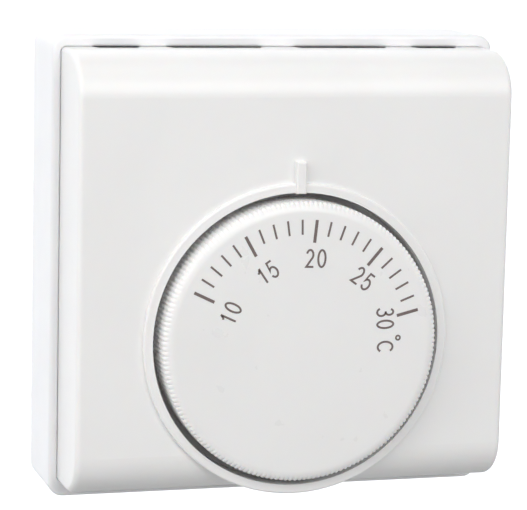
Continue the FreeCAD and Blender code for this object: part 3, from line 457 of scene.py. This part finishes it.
class Finish:
    """A procedural material, built up layer by layer. Sizes are real, in metres."""

    def __init__(self, name, metallic=0.0, **sockets):
        self.material = bpy.data.materials.new(name)
        self.material.use_nodes = True
        tree = self.material.node_tree
        self.nodes = tree.nodes
        self.links = tree.links
        self.shader = self.nodes["Principled BSDF"]
        self.shader.inputs["Metallic"].default_value = metallic
        for socket, value in sockets.items():
            self.shader.inputs[socket.replace("_", " ")].default_value = value
        self.where = self.nodes.new("ShaderNodeTexCoord").outputs["Object"]
        self.normal = None

    def mottle(self, size, detail=2.0, stretch=(1, 1, 1), warp=0.0):
        """Cloudy noise whose patches are about size across, drawn out along an axis by stretch."""
        mapping = self.nodes.new("ShaderNodeMapping")
        mapping.inputs["Scale"].default_value = [1 / amount for amount in stretch]
        noise = self.nodes.new("ShaderNodeTexNoise")
        noise.inputs["Scale"].default_value = 1 / size
        noise.inputs["Detail"].default_value = detail
        noise.inputs["Distortion"].default_value = warp
        self.links.new(self.where, mapping.inputs["Vector"])
        self.links.new(mapping.outputs["Vector"], noise.inputs["Vector"])
        return noise.outputs["Fac"]

    def cells(self, size):
        """Angular cells about size across, each with its own value."""
        voronoi = self.nodes.new("ShaderNodeTexVoronoi")
        voronoi.inputs["Scale"].default_value = 1 / size
        self.links.new(self.where, voronoi.inputs["Vector"])
        grey = self.nodes.new("ShaderNodeRGBToBW")
        self.links.new(voronoi.outputs["Color"], grey.inputs["Color"])
        return grey.outputs["Val"]

    def lathe_rings(self, pitch, axis):
        """Fine tool lines, one each pitch along an axis."""
        wave = self.nodes.new("ShaderNodeTexWave")
        wave.bands_direction = axis
        wave.inputs["Scale"].default_value = 0.314 / pitch
        wave.inputs["Distortion"].default_value = 1.5
        wave.inputs["Detail"].default_value = 2.0
        self.links.new(self.where, wave.inputs["Vector"])
        return wave.outputs["Fac"]

    def remap(self, factor, low, high, start=0.3, stop=0.7):
        """A factor's middle range, spread from low to high."""
        spread = self.nodes.new("ShaderNodeMapRange")
        for socket, value in (("From Min", start), ("From Max", stop), ("To Min", low), ("To Max", high)):
            spread.inputs[socket].default_value = value
        self.links.new(factor, spread.inputs["Value"])
        return spread.outputs["Result"]

    def tint(self, factor, first, second):
        """Base colour that wanders between two colours."""
        mix = self.nodes.new("ShaderNodeMix")
        mix.data_type = "RGBA"
        mix.inputs["A"].default_value = (*first, 1)
        mix.inputs["B"].default_value = (*second, 1)
        self.links.new(factor, mix.inputs["Factor"])
        self.links.new(mix.outputs["Result"], self.shader.inputs["Base Color"])
        return self

    def sheen_spread(self, factor, low, high):
        """Roughness that wanders between two values."""
        self.links.new(self.remap(factor, low, high), self.shader.inputs["Roughness"])
        return self

    def relief(self, factor, height):
        """Raises the surface by up to height where the factor is high."""
        bump = self.nodes.new("ShaderNodeBump")
        bump.inputs["Distance"].default_value = height
        self.links.new(factor, bump.inputs["Height"])
        if self.normal:
            self.links.new(self.normal, bump.inputs["Normal"])
        self.normal = bump.outputs["Normal"]
        self.links.new(self.normal, self.shader.inputs["Normal"])
        return self


def shade(base, factor):
    """A colour, scaled."""
    return tuple(min(1.0, channel * factor) for channel in base)


def moulding(name, base, roughness, glow=0.18):
    """Injection-moulded plastic: near-smooth, with a fine mould grain, faint flow waves and a soft depth."""
    made = Finish(name, Subsurface_Weight=glow, Subsurface_Radius=(1.0, 0.55, 0.32), Subsurface_Scale=0.5 * MM,
                  IOR=1.52)
    flow = made.mottle(22 * MM, 3.0, warp=0.6)
    made.tint(made.remap(flow, 0.0, 1.0), base, shade(base, 0.975))
    made.sheen_spread(made.mottle(5 * MM, 4.0), roughness - 0.03, roughness + 0.05)
    made.relief(made.mottle(9 * MM, 1.0, warp=0.4), 0.006 * MM)
    made.relief(made.mottle(0.22 * MM, 2.0), 0.0014 * MM)
    return made.material


def technical_plastic(name, base, roughness, speck=0.9, grain=0.25, glow=0.0):
    """Plastic of an inner piece: coarser grain, specks of filler and glossier rub marks."""
    made = Finish(name, Subsurface_Weight=glow, Subsurface_Radius=(1.0, 0.7, 0.4), Subsurface_Scale=0.4 * MM)
    made.tint(made.remap(made.mottle(0.5 * MM, 5.0), 0.0, 1.0), base, shade(base, speck))
    made.sheen_spread(made.mottle(3.5 * MM, 4.0, warp=1.0), roughness - 0.08, roughness + 0.1)
    made.relief(made.mottle(grain * MM, 3.0), 0.004 * MM)
    return made.material


def printed_ink(name, base):
    """Pad-printed ink: thin, matt, with slightly uneven cover."""
    made = Finish(name)
    made.tint(made.remap(made.mottle(0.35 * MM, 4.0), 0.0, 1.0), base, shade(base, 1.3))
    made.sheen_spread(made.mottle(0.8 * MM), 0.45, 0.6)
    made.relief(made.mottle(0.12 * MM), 0.001 * MM)
    return made.material


def plated(name, base, roughness=0.3, crystal=0.9):
    """Zinc-plated steel: a faint crystal pattern, cloudy passivation and fine scratches."""
    made = Finish(name, metallic=1.0)
    clouds = made.mottle(4 * MM, 4.0, warp=0.8)
    made.tint(made.remap(clouds, 0.0, 1.0), base, (base[0] * 0.93, base[1] * 0.95, base[2]))
    made.sheen_spread(made.cells(crystal * MM), roughness - 0.07, roughness + 0.09)
    made.relief(made.mottle(0.3 * MM, 3.0, stretch=(6, 1, 1)), 0.002 * MM)
    return made.material


def turned(name, base, roughness=0.24, pitch=0.12):
    """Turned metal: fine tool rings along the spindle, with cloudy handling marks."""
    made = Finish(name, metallic=1.0)
    made.tint(made.remap(made.mottle(3 * MM, 3.0), 0.0, 1.0), base, shade(base, 0.88))
    made.sheen_spread(made.mottle(1.5 * MM, 3.0, stretch=(1, 0.2, 1)), roughness - 0.06, roughness + 0.1)
    made.relief(made.lathe_rings(pitch * MM, "Y"), 0.003 * MM)
    return made.material


def drawn(name, base, dark, roughness=0.28, stretch=(8, 1, 1)):
    """Drawn or rolled metal: long streaks, tarnish in clouds and a soft polish."""
    made = Finish(name, metallic=1.0)
    made.tint(made.remap(made.mottle(2.5 * MM, 5.0, warp=1.2), 0.0, 1.0), base, dark)
    made.sheen_spread(made.mottle(0.6 * MM, 4.0, stretch=stretch), roughness - 0.08, roughness + 0.12)
    made.relief(made.mottle(0.15 * MM, 2.0, stretch=stretch), 0.0015 * MM)
    return made.material


def banded_body(name, ground, bands, node):
    """Lacquered resistor: a glossy body with four colour rings across its length."""
    low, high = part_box(node)
    made = Finish(name, Coat_Weight=0.5, Coat_Roughness=0.1)
    made.sheen_spread(made.mottle(1 * MM, 3.0), 0.25, 0.4)
    made.relief(made.mottle(0.4 * MM, 2.0), 0.004 * MM)
    split = made.nodes.new("ShaderNodeSeparateXYZ")
    made.links.new(made.where, split.inputs["Vector"])
    share = made.remap(split.outputs["X"], 0.0, 1.0, low.x, high.x)
    ramp = made.nodes.new("ShaderNodeValToRGB")
    ramp.color_ramp.interpolation = "CONSTANT"
    stops = ramp.color_ramp.elements
    stops[0].color = (*ground, 1)
    stops[1].position = 0.99
    stops[1].color = (*ground, 1)
    for index, band in enumerate(bands):
        start = 0.16 + 0.19 * index
        stops.new(start).color = (*band, 1)
        stops.new(start + 0.08).color = (*ground, 1)
    made.links.new(share, ramp.inputs["Fac"])
    made.links.new(ramp.outputs["Color"], made.shader.inputs["Base Color"])
    return made.material


def finish_slots(materials):
    """Gives every carried-over piece the finish that its slot names."""
    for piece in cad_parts.values():
        for place in piece.material_slots:
            slot_name = place.material.name.split(".")[0]
            if slot_name in materials:
                place.material = materials[slot_name]


class THERMOSTAT_OT_shells(bpy.types.Operator):
    """Finish the rear housing and the front cover"""
    bl_idname = "thermostat.shells"
    bl_label = "Finish the shells"

    def execute(self, context):
        colours = context.scene.thermostat_finish
        finish_slots({"case_plastic": moulding("case_moulding", colours.case, 0.36),
                      "cover_plastic": moulding("cover_moulding", colours.cover, 0.34),
                      "dial_plastic": moulding("knob_moulding", colours.dial, 0.3)})
        return {"FINISHED"}


class THERMOSTAT_OT_inner_mouldings(bpy.types.Operator):
    """Finish the plastic pieces inside"""
    bl_idname = "thermostat.inner_mouldings"
    bl_label = "Finish the inner mouldings"

    def execute(self, context):
        colours = context.scene.thermostat_finish
        finish_slots({
            "cam_plastic": technical_plastic("cam_acetal", colours.acetal, 0.3, 0.94, 0.4, 0.15),
            "carrier_plastic": technical_plastic("carrier_nylon", colours.carrier, 0.42, 0.9, 0.3, 0.1),
            "switch_plastic": technical_plastic("switch_phenolic", colours.switch, 0.38, 0.6, 0.2),
            "terminal_plastic": technical_plastic("terminal_nylon", colours.terminal, 0.4, 0.95, 0.3, 0.12),
            "resistor_body": banded_body("resistor_lacquer", (0.55, 0.36, 0.2),
                                         ((0.2, 0.07, 0.03), (0.02, 0.02, 0.02), (0.75, 0.42, 0.03),
                                          (0.6, 0.45, 0.12)), "accelerator_resistor"),
        })
        return {"FINISHED"}


class THERMOSTAT_OT_metals(bpy.types.Operator):
    """Finish the screws, springs, strips and contacts"""
    bl_idname = "thermostat.metals"
    bl_label = "Finish the metal pieces"

    def execute(self, context):
        colours = context.scene.thermostat_finish
        steel, brass = colours.steel, colours.brass
        finish_slots({
            "screw_steel": plated("screw_zinc", shade(steel, 1.1), 0.28, 0.5),
            "frame_steel": plated("frame_zinc", steel, 0.34, 1.2),
            "turned_steel": turned("spindle_steel", steel),
            "spring_steel": drawn("spring_wire", shade(steel, 0.75), shade(steel, 0.55), 0.24, (1, 1, 6)),
            "tinned_wire": drawn("tinned_lead", shade(steel, 1.15), shade(steel, 0.95), 0.3),
            "brass": drawn("terminal_brass", brass, shade(brass, 0.75), 0.26, (1, 1, 6)),
            "strip_brass": drawn("strip_brass", shade(brass, 1.08), shade(brass, 0.85), 0.3),
            "capsule_metal": drawn("capsule_bronze", (0.68, 0.5, 0.27), (0.5, 0.34, 0.17), 0.34, (1, 6, 1)),
            "copper": drawn("fill_tube_copper", colours.copper, shade(colours.copper, 0.6), 0.3, (1, 1, 6)),
            "silver": turned("contact_silver", colours.silver, 0.3, 0.08),
        })
        return {"FINISHED"}


# ---------------------------------------------------------------------------------------------
# The stage
# ---------------------------------------------------------------------------------------------

def direction(azimuth, elevation):
    """The way from the thermostat to a lamp: azimuth 0 is in front, 90 to the right."""
    a, e = math.radians(azimuth), math.radians(elevation)
    return Vector((math.sin(a) * math.cos(e), -math.cos(a) * math.cos(e), math.sin(e)))


def soft_lamp(name, azimuth, elevation, distance, size, power, tint=(1, 1, 1)):
    """A square soft lamp that faces the thermostat."""
    middle = (Vector(CAD_BOX[0]) + Vector(CAD_BOX[1])) / 2
    away = direction(azimuth, elevation)
    light = bpy.data.lights.new(name, "AREA")
    light.shape = "SQUARE"
    light.size = size
    light.energy = power
    light.color = tint
    lamp = bpy.data.objects.new(name, light)
    lamp.location = middle + away * distance
    lamp.rotation_mode = "QUATERNION"
    lamp.rotation_quaternion = (-away).to_track_quat("-Z", "Y")
    bpy.context.scene.collection.objects.link(lamp)
    return lamp


def stage_sheet(name, corners, finish):
    """A flat four-sided sheet that isn't part of the thermostat."""
    bm = bmesh.new()
    bm.faces.new([bm.verts.new(corner) for corner in corners])
    bmesh.ops.subdivide_edges(bm, edges=bm.edges, cuts=8, use_grid_fill=True)
    mesh = bpy.data.meshes.new(name)
    bm.to_mesh(mesh)
    bm.free()
    mesh.materials.append(finish)
    sheet = bpy.data.objects.new(name, mesh)
    bpy.context.scene.collection.objects.link(sheet)
    return sheet


def pale_paint(name, base, glow):
    """Matt pale paint with roller grain."""
    made = Finish(name, Emission_Color=(0.94, 0.96, 1.0, 1), Emission_Strength=glow)
    made.tint(made.remap(made.mottle(0.3, 3.0), 0.0, 1.0), base, shade(base, 0.97))
    made.sheen_spread(made.mottle(0.1, 2.0), 0.75, 0.9)
    made.relief(made.mottle(0.004, 3.0), 0.0002)
    return made.material


class THERMOSTAT_OT_stage(bpy.types.Operator):
    """Lay the floor, stand the backdrop and hang the lamps"""
    bl_idname = "thermostat.stage"
    bl_label = "Set the stage"

    def execute(self, context):
        scene = context.scene
        stage = scene.thermostat_stage
        floor = CAD_BOX[0][2] - stage.floor_drop
        wide, tall, rear = 6.0, 4.0, stage.backdrop_distance
        stage_sheet("floor", ((-wide, -wide, floor), (wide, -wide, floor), (wide, rear, floor), (-wide, rear, floor)),
                    pale_paint("floor_paint", (0.72, 0.72, 0.71), 0.0))
        stage_sheet("backdrop", ((-wide, rear, floor), (wide, rear, floor), (wide, rear, tall), (-wide, rear, tall)),
                    pale_paint("backdrop_paint", (0.8, 0.8, 0.8), stage.backdrop_glow))
        soft_lamp("key", -50, 30, 0.9, 0.6, stage.key, (1.0, 0.995, 0.985))
        soft_lamp("top", -10, 80, 0.7, 0.6, stage.top)
        soft_lamp("front", 10, 27, 1.2, 0.8, stage.front)
        soft_lamp("low", -15, -62, 1.0, 0.6, stage.low)
        soft_lamp("left", -85, 5, 0.8, 0.6, stage.left)
        soft_lamp("right", 75, 10, 0.8, 0.6, stage.right)
        soft_lamp("rear", 180, 35, 0.9, 0.7, stage.rear)
        scene.world = bpy.data.worlds.new("room")
        scene.world.use_nodes = True
        room = scene.world.node_tree.nodes["Background"]
        room.inputs["Color"].default_value = (1.0, 1.0, 1.0, 1)
        room.inputs["Strength"].default_value = stage.ambient
        scene.view_settings.view_transform = "Standard"
        return {"FINISHED"}


class THERMOSTAT_OT_camera(bpy.types.Operator):
    """Stand the camera at the left of the thermostat, a little above it"""
    bl_idname = "thermostat.camera"
    bl_label = "Place the camera"

    def execute(self, context):
        scene = context.scene
        stage = scene.thermostat_stage
        a, e = stage.camera_turn, stage.camera_rise
        target = Vector((-2.53, -20.0, 2.11)) * MM
        back = Vector((-math.sin(a) * math.cos(e), -math.cos(a) * math.cos(e), math.sin(e)))
        level = Vector((math.cos(a), -math.sin(a), 0))
        upright = back.cross(level)
        sideways = level * math.cos(stage.camera_roll) + upright * math.sin(stage.camera_roll)
        upwards = upright * math.cos(stage.camera_roll) - level * math.sin(stage.camera_roll)
        spot = target + back * stage.camera_distance
        lens = bpy.data.cameras.new("camera")
        lens.sensor_fit = "HORIZONTAL"
        lens.sensor_width = 36
        lens.lens = stage.camera_lens
        lens.clip_start = 0.01
        lens.clip_end = 50
        camera = bpy.data.objects.new("camera", lens)
        camera.matrix_world = Matrix(((sideways.x, upwards.x, back.x, spot.x), (sideways.y, upwards.y, back.y, spot.y),
                                      (sideways.z, upwards.z, back.z, spot.z), (0, 0, 0, 1)))
        scene.collection.objects.link(camera)
        scene.camera = camera
        return {"FINISHED"}


class THERMOSTAT_PT_sidebar(bpy.types.Panel):
    """Lists the steps and what can be changed"""
    bl_idname = "THERMOSTAT_PT_sidebar"
    bl_label = "Thermostat"
    bl_space_type = "VIEW_3D"
    bl_region_type = "UI"
    bl_category = "Thermostat"

    def draw(self, context):
        for group, steps in SECTIONS:
            box = self.layout.box()
            settings = getattr(context.scene, group)
            for field in settings.__annotations__:
                box.prop(settings, field)
            for step in steps:
                box.operator(step.bl_idname)


GROUPS = {"thermostat_dial": DialSizes, "thermostat_scale": ScaleSizes,
          "thermostat_finish": FinishColours, "thermostat_stage": StageSettings}
SECTIONS = (("thermostat_dial", (THERMOSTAT_OT_dial,)), ("thermostat_scale", (THERMOSTAT_OT_scale,)),
            ("thermostat_finish", (THERMOSTAT_OT_shells, THERMOSTAT_OT_inner_mouldings, THERMOSTAT_OT_metals)),
            ("thermostat_stage", (THERMOSTAT_OT_stage, THERMOSTAT_OT_camera)))
OPERATORS = tuple(step for _, steps in SECTIONS for step in steps)


def register():
    for kind in (*GROUPS.values(), *OPERATORS, THERMOSTAT_PT_sidebar):
        bpy.utils.register_class(kind)
    for name, kind in GROUPS.items():
        setattr(bpy.types.Scene, name, PointerProperty(type=kind))


def unregister():
    for name in GROUPS:
        delattr(bpy.types.Scene, name)
    for kind in reversed((*GROUPS.values(), *OPERATORS, THERMOSTAT_PT_sidebar)):
        bpy.utils.unregister_class(kind)


def main():
    """Makes everything in order."""
    register()
    bpy.ops.thermostat.dial()
    bpy.ops.thermostat.scale()
    bpy.ops.thermostat.shells()
    bpy.ops.thermostat.inner_mouldings()
    bpy.ops.thermostat.metals()
    bpy.ops.thermostat.stage()
    bpy.ops.thermostat.camera()


if __name__ == "__main__":
    main()
